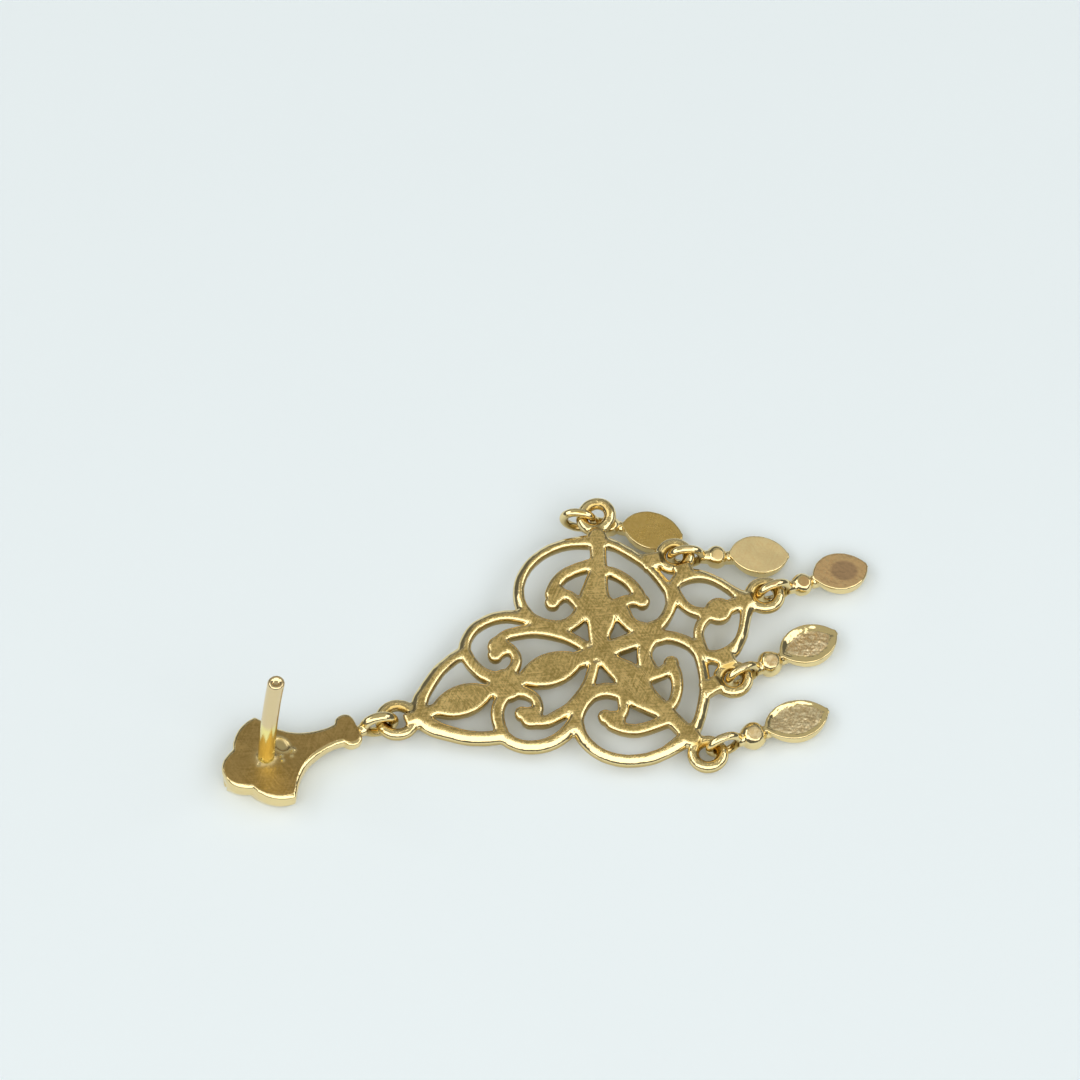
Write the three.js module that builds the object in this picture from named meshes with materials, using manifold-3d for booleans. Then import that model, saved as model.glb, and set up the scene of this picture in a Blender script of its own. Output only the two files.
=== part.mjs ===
// Chandelier post earring in yellow gold, lying on its front face.
// Millimetres, +Z up. The stud plate is at -X, the five drops hang towards +X,
// and the ear post stands up from the plate's flat back.
import * as THREE from "three";
import { mergeVertices } from "three/addons/utils/BufferGeometryUtils.js";
import Module from "manifold-3d";

const wasm = await Module();
wasm.setup();

// Filigree panel: a flat-backed casting, drawn in its own plane about its centre
const panelThickness = 0.95;
const wallDraft = 0.15;          // how far each wall leans in at the front
const facetLength = 0.48;        // spacing of the stations along a stroke
const panelMidHeight = 1.25;     // mid-plane above the surface, at the panel's centre
const panelRise = { alongX: 0.030, alongY: 0.068 };   // slopes, for it rests on the folded drop

// Loops and rings
const loopWire = 0.56;
const ringRadius = 0.92;         // of the wire's centre line
const ringWire = 0.42;
const ringSquash = 0.84;         // a ring is oval, this much as high as it is long
const wireSides = 6;
const ringSides = 18;

// Drops
const beadRadius = 0.6;
const beadReach = 1.85;          // ring centre to bead centre
const neckRadius = 0.22;
const leafReach = 2.53;          // ring centre to the leaf's near point
const leafWidth = 2.6;
const leafThickness = 0.95;
const leafDraft = 0.42;
const pointWidth = 0.4;
const pointDepth = 0.3;          // share of the thickness left at the leaf's points

// Stud plate and post
const plateThickness = 1.5;
const crossbarThickness = 0.95;  // the plate thins from its lobes to the crossbar
const plateDraft = 0.4;
const plateCentre = { x: -20.44, y: 0.27, turn: 2 };
const postFoot = { x: -0.14, y: 0.15 };          // from the plate's centre
const postRadius = 0.5;
const postLength = 7.42;
const postChamfer = 0.14;
const postBend = 0.82;           // how far its tip has been bent towards the drops
const collarRadius = 0.72;       // solder round the post's foot
const collarHeight = 0.2;
const linkRadius = 0.34;         // short neck between the plate and its ring
const studRing = { x: -13.35, y: 0.44, turn: -8 };

const bellyReach = 4.75;         // ring centre to where a dipping leaf's belly touches

const degree = Math.PI / 180;
const ringLength = 2 * ringRadius + ringWire;
const ringRest = ringSquash * ringLength / 2;    // height of a resting ring's centre

// Strokes of one half of the panel. Each row is [x, y, width] along the stroke.
const halfStrokes = {
  almondArm: [[-11.2, 0.05, 0.9], [-10.7, 1.0, 0.8], [-9.95, 1.7, 0.7], [-9.0, 2.42, 0.66],
    [-8.1, 2.82, 0.62], [-7.15, 3.1, 0.62]],
  almondStrut: [[-7.1, 3.1, 0.62], [-7.05, 2.4, 0.6], [-6.92, 1.8, 0.6], [-6.6, 1.15, 0.62],
    [-5.9, 0.5, 0.7]],
  firstLobe: [[-7.1, 3.1, 0.6], [-6.75, 3.7, 0.56], [-6.1, 4.25, 0.56], [-5.3, 4.52, 0.58],
    [-4.6, 4.56, 0.6], [-3.9, 4.4, 0.62], [-3.3, 4.12, 0.68], [-2.6, 3.62, 0.7]],
  firstScroll: [[-0.3, 0.55, 0.5], [-0.8, 1.3, 0.52], [-1.35, 1.95, 0.6], [-2.0, 2.45, 0.64],
    [-2.8, 2.85, 0.58], [-3.6, 3.03, 0.54], [-4.4, 3.12, 0.52], [-5.05, 2.9, 0.5]],
  firstBranch: [[-4.85, 2.6, 0.5], [-4.5, 2.1, 0.48], [-4.43, 1.5, 0.48], [-4.7, 1.0, 0.5], [-5.4, 0.5, 0.6]],
  secondLobe: [[-2.85, 4.3, 0.6], [-2.8, 5.1, 0.52], [-2.48, 5.95, 0.5], [-1.97, 6.63, 0.5],
    [-1.3, 7.15, 0.5], [-0.6, 7.47, 0.5], [0.2, 7.66, 0.52], [1.0, 7.68, 0.52], [1.8, 7.52, 0.6],
    [2.9, 7.2, 0.85]],
  lobeRoot: [[-2.85, 4.4, 0.62], [-2.7, 3.75, 0.62], [-2.3, 3.15, 0.66], [-1.7, 2.65, 0.7],
    [-1.0, 2.4, 0.7], [-0.3, 2.52, 0.72], [0.4, 2.95, 0.8]],
  secondScroll: [[2.6, 5.7, 0.6], [1.8, 5.72, 0.56], [1.0, 5.75, 0.54], [0.3, 5.65, 0.56],
    [-0.35, 5.3, 0.58], [-0.8, 4.85, 0.6]],
  secondBranch: [[-0.4, 4.55, 0.5], [0.05, 4.2, 0.5], [0.25, 3.7, 0.5], [0.5, 3.0, 0.7]],
  stem: [[3.15, 7.35, 1.0], [2.8, 6.5, 0.8], [2.55, 5.8, 0.8], [2.2, 5.0, 0.98], [1.72, 4.2, 1.35],
    [1.35, 3.4, 1.75], [1.3, 2.7, 1.9], [1.12, 1.9, 1.55], [0.72, 1.15, 1.15], [0.4, 0.3, 0.95]],
  outerArm: [[3.2, 7.1, 0.7], [3.9, 6.45, 0.52], [4.42, 5.75, 0.5], [4.85, 5.05, 0.5],
    [5.2, 4.3, 0.5], [5.45, 3.5, 0.52], [5.62, 2.8, 0.6], [5.8, 2.2, 0.8]],
  innerTendril: [[2.45, 5.05, 0.5], [3.0, 4.75, 0.48], [3.43, 4.2, 0.5], [3.72, 3.6, 0.54],
    [3.84, 3.0, 0.62], [3.82, 2.45, 0.68]],
  tendrilFoot: [[1.9, 2.5, 0.8], [2.6, 2.6, 0.66], [3.2, 2.62, 0.58], [3.85, 2.4, 0.6]],
  pillar: [[2.4, 2.9, 0.8], [2.5, 2.1, 0.88], [2.57, 1.4, 0.76], [2.8, 0.85, 0.76], [3.4, 0.3, 0.8]],
  archFoot: [[5.8, 2.3, 0.8], [5.45, 1.5, 0.56], [4.98, 0.93, 0.52], [4.4, 0.5, 0.56],
    [3.8, 0.3, 0.8], [3.0, 0.15, 0.9]],
  crownWall: [[5.85, 2.35, 0.7], [6.0, 1.6, 0.46], [6.15, 1.0, 0.44], [6.5, 0.5, 0.46], [7.1, 0.1, 0.5]],
  crownArm: [[5.7, 2.45, 0.7], [6.3, 2.75, 0.62], [7.0, 2.92, 0.72], [7.65, 2.75, 0.64], [8.2, 2.35, 0.5],
    [8.65, 1.85, 0.46], [9.05, 1.2, 0.46], [9.4, 0.6, 0.6], [9.85, 0.1, 0.7]],
  sideLoopNeck: [[6.95, 2.8, 0.95], [6.95, 3.65, 0.95]],
  sideLoopCheek: [[4.95, 4.85, 0.6], [5.95, 4.7, 0.5]],
};

// Round bosses of one half, as [x, y, radius]
const halfBosses = {
  firstScrollHead: [-5.1, 2.55, 0.6],
  firstScrollTip: [-5.5, 2.13, 0.37],
  secondScrollHead: [-0.65, 4.6, 0.56],
  secondScrollTip: [-1.05, 4.17, 0.37],
  tendrilTip: [3.9, 2.25, 0.36],
  shoulder: [3.1, 7.35, 0.5],
};

// On the axis: leaves as [start, end, half width], bosses as [x, radius], bars as [start, end, width]
const axisLeaves = [[-10.4, -6.45, 0.94], [-4.95, -0.7, 1.0]];
const axisBosses = [[-5.7, 0.98], [7.85, 0.74], [-11.0, 0.5]];
const axisBars = [[-7.0, -4.4, 0.7], [-1.4, 4.3, 0.9], [6.6, 10.0, 0.72], [-12.0, -10.2, 0.62]];

// Loops in the panel's plane, as [x, y, centre-line radius, lift, twist in degrees].
// The first drop's bead pushes the far side of its loop up.
const panelLoops = {
  topLoop: [-12.4, 0.33, 0.98, 0, 0],
  loopOne: [3.6, 8.74, 0.86, 0.06, 16],
  loopTwo: [6.88, 4.5, 0.86, 0, 0],
  loopThree: [10.82, 0.05, 0.86, 0, 0],
  loopFour: [6.88, -4.5, 0.86, 0, 0],
  loopFive: [3.6, -8.6, 0.86, 0, 0],
};

// Drops from the folded one round to the far corner: ring centre, turn in degrees and the
// leaf's length. Each dips until the belly of its leaf meets the surface.
const drops = [
  { name: "drop_1", x: 2.66, y: 9.14, z: 1.61, turn: -26, leaf: 3.7 },
  { name: "drop_2", x: 7.6, y: 4.4, z: 1.52, turn: -15, leaf: 3.65 },
  { name: "drop_3", x: 11.5, y: 0.22, z: 1.42, turn: 2, leaf: 3.55 },
  { name: "drop_4", x: 7.62, y: -4.28, z: ringRest, turn: 8, leaf: 3.85 },
  { name: "drop_5", x: 4.72, y: -8.4, z: ringRest, turn: 1, leaf: 4.1 },
];

// Outline of the stud plate, as [distance from its centre towards the drops, full width]
const plateStations = [[-2.85, 0.5], [-2.76, 1.15], [-2.5, 1.95], [-2.1, 2.55], [-1.66, 2.95], [-1.5, 3.75],
  [-1.1, 4.8], [-0.6, 5.55], [0.0, 6.0], [0.36, 6.1], [0.6, 5.4], [0.95, 4.3], [1.35, 3.35], [1.9, 2.45],
  [2.6, 1.78], [3.4, 1.38], [4.0, 1.28], [4.45, 1.4], [4.6, 1.95], [4.85, 2.22], [5.2, 2.22], [5.45, 1.9],
  [5.58, 1.2]];

const satinGold = { color: 0xa5894a, roughness: 0.38, metalness: 1 };
const polishedGold = { color: 0xd9b866, roughness: 0.16, metalness: 1 };

// A three.js geometry as a closed solid
function toSolid(geometry) {
  const bare = geometry.index ? geometry.toNonIndexed() : geometry.clone();
  bare.deleteAttribute("normal");
  bare.deleteAttribute("uv");
  const merged = mergeVertices(bare, 1e-5);
  return new wasm.Manifold(new wasm.Mesh({
    numProp: 3,
    vertProperties: new Float32Array(merged.attributes.position.array),
    triVerts: new Uint32Array(merged.index.array),
  }));
}

// Joins a list of geometries into one named mesh
function joinedMesh(name, geometries, finish) {
  let body = toSolid(geometries[0]);
  for (const geometry of geometries.slice(1)) body = body.add(toSolid(geometry));
  const result = body.getMesh();
  const geometry = new THREE.BufferGeometry();
  geometry.setAttribute("position", new THREE.BufferAttribute(new Float32Array(result.vertProperties), 3));
  geometry.setIndex(new THREE.BufferAttribute(new Uint32Array(result.triVerts), 1));
  geometry.computeVertexNormals();
  const mesh = new THREE.Mesh(geometry, new THREE.MeshStandardMaterial(finish));
  mesh.name = name;
  return mesh;
}

// A flat-backed bar through stations [x, y, width, depth]: its walls lean in towards the front,
// which is at -Z, and its depth is the full thickness where a station gives none. The box's own
// grid of vertices is bent onto the stations.
function bar(stations, thickness, draft) {
  const last = stations.length - 1;
  const box = new THREE.BoxGeometry(1, 1, 1, last, 1, 1);
  const position = box.attributes.position;
  for (let i = 0; i < position.count; i++) {
    const row = Math.round((position.getX(i) + 0.5) * last);
    const [x, y, width, depth = thickness] = stations[row];
    const before = stations[Math.max(row - 1, 0)];
    const after = stations[Math.min(row + 1, last)];
    const along = new THREE.Vector2(after[0] - before[0], after[1] - before[1]).normalize();
    const front = position.getZ(i) < 0;
    const half = front ? Math.max(width / 2 - draft, 0.25 * width) : width / 2;
    const inset = (row === 0 ? 1 : row === last ? -1 : 0) * (front ? 0.5 * draft : 0);
    const side = Math.sign(position.getY(i)) * half;
    position.setXYZ(i, x + along.x * inset - along.y * side, y + along.y * inset + along.x * side,
      thickness / 2 - (front ? depth : 0));
  }
  return box;
}

// Smooth stations along a stroke given by a few rows [x, y, width]
function stroke(rows) {
  const points = rows.map((row) => new THREE.Vector3(...row));
  const curve = new THREE.CatmullRomCurve3(points, false, "centripetal");
  const steps = Math.max(2, Math.round(curve.getLength() / facetLength));
  return curve.getPoints(steps).map((point) => [point.x, point.y, point.z]);
}

// Stations of a pointed leaf between two arcs, along +X about its centre
function leafStations(length, halfWidth, tipWidth, steps) {
  const arcRadius = (length ** 2 / 4 + halfWidth ** 2) / (2 * halfWidth);
  const stations = [];
  for (let i = 0; i <= steps; i++) {
    const x = -Math.cos(Math.PI * i / steps) * length / 2;
    const half = Math.sqrt(arcRadius ** 2 - x ** 2) - (arcRadius - halfWidth);
    stations.push([x, 0, Math.max(2 * half, tipWidth)]);
  }
  return stations;
}

// An upright oval ring along +X about its centre
function ovalRing() {
  return new THREE.TorusGeometry(ringRadius, ringWire / 2, wireSides, ringSides)
    .scale(1, ringSquash, 1).rotateX(Math.PI / 2);
}

// A round boss of the panel, its wall leaning in at the front
function boss(x, y, radius) {
  const sides = radius > 0.5 ? 20 : 14;
  return new THREE.CylinderGeometry(radius, radius - wallDraft, panelThickness, sides)
    .rotateX(Math.PI / 2).translate(x, y, 0);
}

const mirrorRows = (rows) => rows.map(([x, y, width]) => [x, -y, width]);

function filigreePanel() {
  const pieces = [];
  for (const rows of Object.values(halfStrokes)) {
    for (const side of [rows, mirrorRows(rows)]) pieces.push(bar(stroke(side), panelThickness, wallDraft));
  }
  for (const [x, y, radius] of Object.values(halfBosses)) {
    pieces.push(boss(x, y, radius), boss(x, -y, radius));
  }
  for (const [x, radius] of axisBosses) pieces.push(boss(x, 0, radius));
  for (const [start, end, width] of axisBars) {
    pieces.push(bar([[start, 0, width], [end, 0, width]], panelThickness, wallDraft));
  }
  for (const [start, end, halfWidth] of axisLeaves) {
    const leaf = bar(leafStations(end - start, halfWidth, 0.2, 12), panelThickness, wallDraft);
    pieces.push(leaf.translate((start + end) / 2, 0, 0));
  }
  for (const [x, y, radius, lift, twist] of Object.values(panelLoops)) {
    pieces.push(new THREE.TorusGeometry(radius, loopWire / 2, wireSides, ringSides)
      .rotateY(-twist * degree).translate(x, y, lift));
  }
  return joinedMesh("filigree_panel", pieces, satinGold);
}

// One drop along +X from its ring's centre: ring, neck, bead, neck and leaf in one casting
function drop(name, leafLength) {
  const overlap = 0.4;           // how far each neck runs into the ring and the leaf
  const beadArc = 7;
  const profile = [new THREE.Vector2(0, ringRadius - ringWire / 4),
    new THREE.Vector2(neckRadius, ringRadius - ringWire / 4)];
  for (let i = 1; i < beadArc; i++) {
    const angle = Math.PI * i / beadArc;
    const radius = Math.max(beadRadius * Math.sin(angle), neckRadius);
    profile.push(new THREE.Vector2(radius, beadReach - beadRadius * Math.cos(angle)));
  }
  profile.push(new THREE.Vector2(neckRadius, leafReach + overlap), new THREE.Vector2(0, leafReach + overlap));
  const stalk = new THREE.LatheGeometry(profile, 12).rotateZ(-Math.PI / 2);
  const depthAt = (width) => leafThickness * (pointDepth + (1 - pointDepth) * width / leafWidth);
  const domed = leafStations(leafLength, leafWidth / 2, pointWidth, 14)
    .map(([x, y, width]) => [x, y, width, depthAt(width)]);
  const leaf = bar(domed, leafThickness, leafDraft).translate(leafReach + leafLength / 2, 0, 0);
  return joinedMesh(name, [ovalRing(), stalk, leaf], polishedGold);
}

// The ear post with the collar of solder at its foot, bent along a parabola towards +X
function earPost() {
  const root = -0.4;             // the post's foot is sunk into the plate
  const bendSteps = 6;
  const profile = [[0, root], [collarRadius, root], [collarRadius, collarHeight / 4],
    [postRadius + collarHeight / 2, collarHeight]];
  const straightFrom = 2 * collarHeight;
  const straightTo = postLength - postChamfer;
  for (let i = 0; i <= bendSteps; i++) {
    profile.push([postRadius, THREE.MathUtils.lerp(straightFrom, straightTo, i / bendSteps)]);
  }
  profile.push([postRadius - postChamfer, postLength], [0, postLength]);
  const points = profile.map((row) => new THREE.Vector2(...row));
  const post = new THREE.LatheGeometry(points, 16).rotateX(Math.PI / 2);
  const position = post.attributes.position;
  for (let i = 0; i < position.count; i++) {
    const height = Math.max(position.getZ(i), 0);
    position.setX(i, position.getX(i) + postBend * (height / postLength) ** 2);
  }
  return post.translate(postFoot.x, postFoot.y, 0);
}

// Stud plate with its post and the ring at its neck, all soldered into one. Its origin is
// the centre of its lobes, on the flat back.
function studPlate() {
  const plateEnd = plateStations[plateStations.length - 1][0];
  const depthAt = (x) => THREE.MathUtils.lerp(plateThickness, crossbarThickness, Math.max(x / plateEnd, 0));
  const outline = plateStations.map(([x, width]) => [x, 0, width, depthAt(x)]);
  const plate = bar(outline, plateThickness, plateDraft).translate(0, 0, -plateThickness / 2);
  const offset = new THREE.Vector2(studRing.x - plateCentre.x, studRing.y - plateCentre.y)
    .rotateAround(new THREE.Vector2(), -plateCentre.turn * degree);
  const ringHeight = ringRest - plateThickness;
  const ring = ovalRing().rotateZ((studRing.turn - plateCentre.turn) * degree)
    .translate(offset.x, offset.y, ringHeight);
  const ringStart = offset.x - ringLength / 2;
  const linkLength = ringStart - plateEnd + 2 * linkRadius;
  const link = new THREE.CylinderGeometry(linkRadius, linkRadius, linkLength, 10)
    .rotateZ(Math.PI / 2).translate((ringStart + plateEnd) / 2, offset.y, ringHeight);
  return joinedMesh("stud_plate", [plate, earPost(), link, ring], satinGold);
}

const earring = new THREE.Group();

const stud = studPlate();
stud.position.set(plateCentre.x, plateCentre.y, plateThickness);
stud.rotation.z = plateCentre.turn * degree;
earring.add(stud);

const panel = filigreePanel();
panel.position.z = panelMidHeight;
panel.rotation.set(Math.atan(panelRise.alongY), -Math.atan(panelRise.alongX), 0);
earring.add(panel);

for (const { name, x, y, z, turn, leaf } of drops) {
  const piece = drop(name, leaf);
  piece.position.set(x, y, z);
  const dip = Math.asin((z - leafThickness / 2) / bellyReach);
  piece.rotation.set(0, dip, turn * degree, "ZYX");
  earring.add(piece);
}

// Stand the whole on the surface with the origin under the middle of its box
earring.updateMatrixWorld(true);
const box = new THREE.Box3().setFromObject(earring, true);
earring.position.set(-(box.min.x + box.max.x) / 2, -(box.min.y + box.max.y) / 2, -box.min.z);

const group = new THREE.Group();
group.add(earring);

export default group;
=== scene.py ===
# Gold chandelier earring on an ear post, lying face down on a pale table.
# Castings are modelled in millimetres about their own origins, then set in place in metres.
import math

import bmesh
import bpy
from mathutils import Euler, Matrix, Vector, noise


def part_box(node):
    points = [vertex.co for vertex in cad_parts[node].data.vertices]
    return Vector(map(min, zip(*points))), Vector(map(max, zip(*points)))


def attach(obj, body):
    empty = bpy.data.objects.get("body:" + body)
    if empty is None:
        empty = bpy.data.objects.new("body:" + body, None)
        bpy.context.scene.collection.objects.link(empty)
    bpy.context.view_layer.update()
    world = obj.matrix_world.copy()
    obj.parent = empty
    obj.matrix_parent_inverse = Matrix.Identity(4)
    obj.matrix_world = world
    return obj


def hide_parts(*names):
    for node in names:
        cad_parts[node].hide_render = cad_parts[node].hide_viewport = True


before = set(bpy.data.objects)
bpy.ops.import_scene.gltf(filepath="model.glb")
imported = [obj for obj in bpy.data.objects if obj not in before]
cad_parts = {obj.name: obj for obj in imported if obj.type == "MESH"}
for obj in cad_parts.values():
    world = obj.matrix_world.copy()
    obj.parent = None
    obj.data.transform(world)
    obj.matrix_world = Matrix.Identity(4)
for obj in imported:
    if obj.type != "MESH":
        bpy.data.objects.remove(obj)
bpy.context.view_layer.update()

# ---- camera
tableCamera = {
    "azimuth": -22.13, "elevation": 55.42, "roll": 0.25,     # degrees
    "aim": (0.00326, 0.00964, 0.0), "distance": 0.53604,     # metres
    "clip": (0.05, 10.0),
    "lens": 300.0, "sensor": 36.0,     # millimetres
}


def towards(setup):
    # unit vector from the table's middle, in degrees to the right of the front and above the top
    azimuth, elevation = math.radians(setup["azimuth"]), math.radians(setup["elevation"])
    return Vector((math.sin(azimuth) * math.cos(elevation),
                   -math.cos(azimuth) * math.cos(elevation), math.sin(elevation)))


def addObject(name, data):
    made = bpy.data.objects.new(name, data)
    bpy.context.scene.collection.objects.link(made)
    return made


def makeCamera(setup):
    back = towards(setup)
    data = bpy.data.cameras.new("tableCamera")
    data.lens, data.sensor_width = setup["lens"], setup["sensor"]
    data.clip_start, data.clip_end = setup["clip"]
    camera = addObject("tableCamera", data)
    camera.rotation_mode = "QUATERNION"
    camera.location = Vector(setup["aim"]) + back * setup["distance"]
    camera.rotation_quaternion = ((-back).to_track_quat("-Z", "Y")
                                  @ Euler((0, 0, math.radians(setup["roll"]))).to_quaternion())
    bpy.context.scene.camera = camera


makeCamera(tableCamera)
print("camera placed")


# ---- shader helpers
class Term:
    # a socket with arithmetic on it
    def __init__(self, recipe, socket):
        self.recipe, self.socket = recipe, socket

    def maths(self, operation, *values):
        made = self.recipe.node("ShaderNodeMath", {"operation": operation}, dict(enumerate(values)))
        return made["Value"]

    def __add__(self, other):
        return self.maths("ADD", self, other)

    def __sub__(self, other):
        return self.maths("SUBTRACT", self, other)

    def __mul__(self, other):
        return self.maths("MULTIPLY", self, other)


class Recipe:
    # a material's nodes
    def __init__(self, name):
        self.material = bpy.data.materials.new(name)
        self.material.use_nodes = True
        self.tree = self.material.node_tree
        self.shader = self.tree.nodes["Principled BSDF"]

    def feed(self, node, values):
        for key, value in values.items():
            if isinstance(value, Term):
                self.tree.links.new(value.socket, node.inputs[key])
            else:
                node.inputs[key].default_value = value

    def node(self, kind, settings, values):
        made = self.tree.nodes.new(kind)
        for key, value in settings.items():
            setattr(made, key, value)
        self.feed(made, values)
        return {socket.name: Term(self, socket) for socket in made.outputs if socket.enabled}

    def smooth(self, value, low, high, start=0.0, end=1.0):
        return self.node("ShaderNodeMapRange", {"interpolation_type": "SMOOTHSTEP"},
                         {"Value": value, "From Min": low, "From Max": high,
                          "To Min": start, "To Max": end})["Result"]

    def tint(self, factor, first, second):
        # sockets 6 and 7 are a colour mix's two colours
        return self.node("ShaderNodeMix", {"data_type": "RGBA"},
                         {0: factor, 6: first, 7: second})["Result"]

    def place(self, turn=(0, 0, 0), scale=(1, 1, 1)):
        # object coordinates in millimetres, turned by degrees and then stretched
        coords = self.node("ShaderNodeTexCoord", {}, {})["Object"]
        turned = self.node("ShaderNodeMapping", {"vector_type": "POINT"},
                           {"Vector": coords, "Rotation": tuple(math.radians(a) for a in turn),
                            "Scale": (1000, 1000, 1000)})["Vector"]
        return self.node("ShaderNodeVectorMath", {"operation": "MULTIPLY"},
                         {0: turned, 1: scale})["Vector"]

    def noise(self, where, scale, detail=2.0, roughness=0.5):
        made = self.node("ShaderNodeTexNoise", {},
                         {"Vector": where, "Scale": scale, "Detail": detail, "Roughness": roughness})
        return made.get("Factor") or made["Fac"]

    def attribute(self, name):
        return self.node("ShaderNodeAttribute", {"attribute_name": name}, {})["Fac"]


def goldFinish(name, look):
    # satin on the flat backs, polish on the rounded edges and walls
    gold = Recipe(name)
    plain = gold.place()
    marks = ("satin", "solder", "paintedShadeAndReflection", "stain")
    satin, solder, paintedShadeAndReflection, stain = [gold.attribute(mark) for mark in marks]
    patches = gold.smooth(gold.noise(plain, *look["patches"]), *look["patchEdge"])
    fine = gold.noise(plain, *look["fine"])
    speckle = gold.noise(plain, *look["speckle"])
    # brush strokes in three directions, each strongest in its own patches
    strokes = None
    for brushTurn, reachTurn in zip(look["brushTurns"], look["reachTurns"]):
        hair = gold.noise(gold.place((0, 0, brushTurn), look["hairStretch"]), *look["hair"])
        reach = gold.smooth(gold.noise(gold.place((0, 0, reachTurn)), *look["reach"]), *look["reachEdge"])
        part = (hair - 0.5) * reach
        strokes = part if strokes is None else strokes + part
    grain = fine * look["grain"] * (satin * (1 - look["edgeGrain"]) + look["edgeGrain"])
    relief = satin * strokes * look["brush"] + grain
    bump = gold.node("ShaderNodeBump", {}, {"Height": relief, "Strength": 1.0,
                                            "Distance": look["bumpDepth"]})["Normal"]
    mottle = ((speckle - 0.5) * look["speckleTone"] + strokes * look["strokeTone"]) * look["streak"]
    tone = patches * look["patchTone"] + (0.5 - look["patchTone"] / 2) + mottle
    tone = gold.tint(tone, look["satinDark"], look["satinLight"])
    tone = gold.tint(stain, tone, look.get("stain", look["satinDark"]))
    colour = gold.tint(satin, look["polish"], tone)
    colour = gold.tint(solder, colour, look["solder"])
    # painted shade on upright walls, ring insides and bead flats, and a painted reflection on the post,
    # mixed into the colour
    colour = gold.tint(paintedShadeAndReflection, colour, look["paintedShadeAndReflection"])
    rough = gold.smooth(satin, 0.0, 1.0, look["polishRough"], look["satinRough"])
    rough = rough + (patches - 0.5) * satin * look["roughPatch"] + (fine - 0.5) * look["roughFine"]
    rough = rough + solder * look["solderRough"] + paintedShadeAndReflection * look["paintedShadeAndReflectionRough"]
    gold.feed(gold.shader, {"Base Color": colour, "Roughness": rough, "Normal": bump, "Metallic": 1.0})
    return gold.material


# ---- modelling helpers, all in millimetres
def quarterTurn(axis):
    return Matrix.Rotation(math.pi / 2, 4, axis)


def smoothRun(rows, spacing):
    # centripetal Catmull-Rom curve through the rows, at even steps of its parameter
    points = [Vector(row) for row in rows]
    ends = [points[0] * 2 - points[1], *points, points[-1] * 2 - points[-2]]
    run = []
    for p0, p1, p2, p3 in zip(ends, ends[1:], ends[2:], ends[3:]):
        gaps = [max((b - a).length, 1e-4) ** 0.5 for a, b in ((p0, p1), (p1, p2), (p2, p3))]
        slopeIn = ((p1 - p0) / gaps[0] - (p2 - p0) / (gaps[0] + gaps[1]) + (p2 - p1) / gaps[1]) * gaps[1]
        slopeOut = ((p2 - p1) / gaps[1] - (p3 - p1) / (gaps[1] + gaps[2]) + (p3 - p2) / gaps[2]) * gaps[1]
        steps = max(1, round((p2 - p1).length / spacing))
        for step in range(steps):
            t = step / steps
            run.append(p1 * (2 * t ** 3 - 3 * t ** 2 + 1) + slopeIn * (t ** 3 - 2 * t ** 2 + t)
                       + p2 * (3 * t ** 2 - 2 * t ** 3) + slopeOut * (t ** 3 - t ** 2))
    run.append(points[-1])
    return [tuple(point) for point in run]


def addBar(bm, stations, levels, place=Matrix(), outer=0):
    # a box with one row of vertices for each station [x, y, width, depth share]. Levels run from the
    # flat back downwards as [height, inset, outer inset], and outer says which side takes the last one
    leastInner, leastOuter = 0.22, -0.1     # shares of the width that a wall keeps from the middle line
    endShare = 0.5     # how much of its inset a level gives at both ends
    last = len(stations) - 1
    layer = bmesh.ops.create_grid(bm, x_segments=last, y_segments=1, size=0.5)["verts"]
    home = {vert: vert.co.copy() for vert in layer}
    made = []
    for level, (height, inset, outerInset) in enumerate(levels):
        if level:
            faces = list({face for vert in layer for face in vert.link_faces
                          if all(corner in home for corner in face.verts)})
            raised = bmesh.ops.extrude_face_region(bm, geom=faces)["geom"]
            layer = [item for item in raised if isinstance(item, bmesh.types.BMVert)]
            home = {vert: vert.co.copy() for vert in layer}
        made.append((layer, home, height, inset, outerInset))
    for layer, home, height, inset, outerInset in made:
        for vert in layer:
            row = round((home[vert].x + 0.5) * last)
            x, y, width, *rest = stations[row]
            share = rest[0] if rest else 1.0
            before, after = stations[max(row - 1, 0)], stations[min(row + 1, last)]
            along = Vector((after[0] - before[0], after[1] - before[1])).normalized()
            side = math.copysign(1, home[vert].y)
            if side == outer:
                half = max(width / 2 - outerInset, leastOuter * width) * side
            else:
                half = max(width / 2 - inset, leastInner * width) * side
            end = ((row == 0) - (row == last)) * endShare * inset
            vert.co = Vector((x + along.x * end - along.y * half, y + along.y * end + along.x * half,
                              levels[0][0] + (height - levels[0][0]) * share))
    bmesh.ops.transform(bm, matrix=place, verts=[vert for layer, *_ in made for vert in layer])


def spinRound(bm, geometry, steps):
    bmesh.ops.spin(bm, geom=geometry, cent=(0, 0, 0), axis=(0, 0, 1), angle=2 * math.pi,
                   steps=steps, use_merge=True)


def addHoop(bm, radius, wire, place, sides=16, steps=56):
    # a closed wire ring about its own Z axis
    upright = Matrix.Translation((radius, 0, 0)) @ quarterTurn("X")
    section = bmesh.ops.create_circle(bm, segments=sides, radius=wire / 2, matrix=upright)["verts"]
    edges = list({edge for vert in section for edge in vert.link_edges})
    before = set(bm.verts) - set(section)
    spinRound(bm, [*section, *edges], steps)
    bmesh.ops.transform(bm, matrix=place, verts=[vert for vert in bm.verts if vert not in before])


def addTurned(bm, profile, place, steps):
    # a solid turned from a profile of [radius, height] about Z
    before = set(bm.verts)
    verts = [bm.verts.new((radius, 0, height)) for radius, height in profile]
    edges = [bm.edges.new(pair) for pair in zip(verts, verts[1:])]
    spinRound(bm, [*verts, *edges], steps)
    made = [vert for vert in bm.verts if vert not in before]
    bmesh.ops.remove_doubles(bm, verts=made, dist=0.0005)
    made = [vert for vert in bm.verts if vert not in before]
    bmesh.ops.transform(bm, matrix=place, verts=made)


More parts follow.
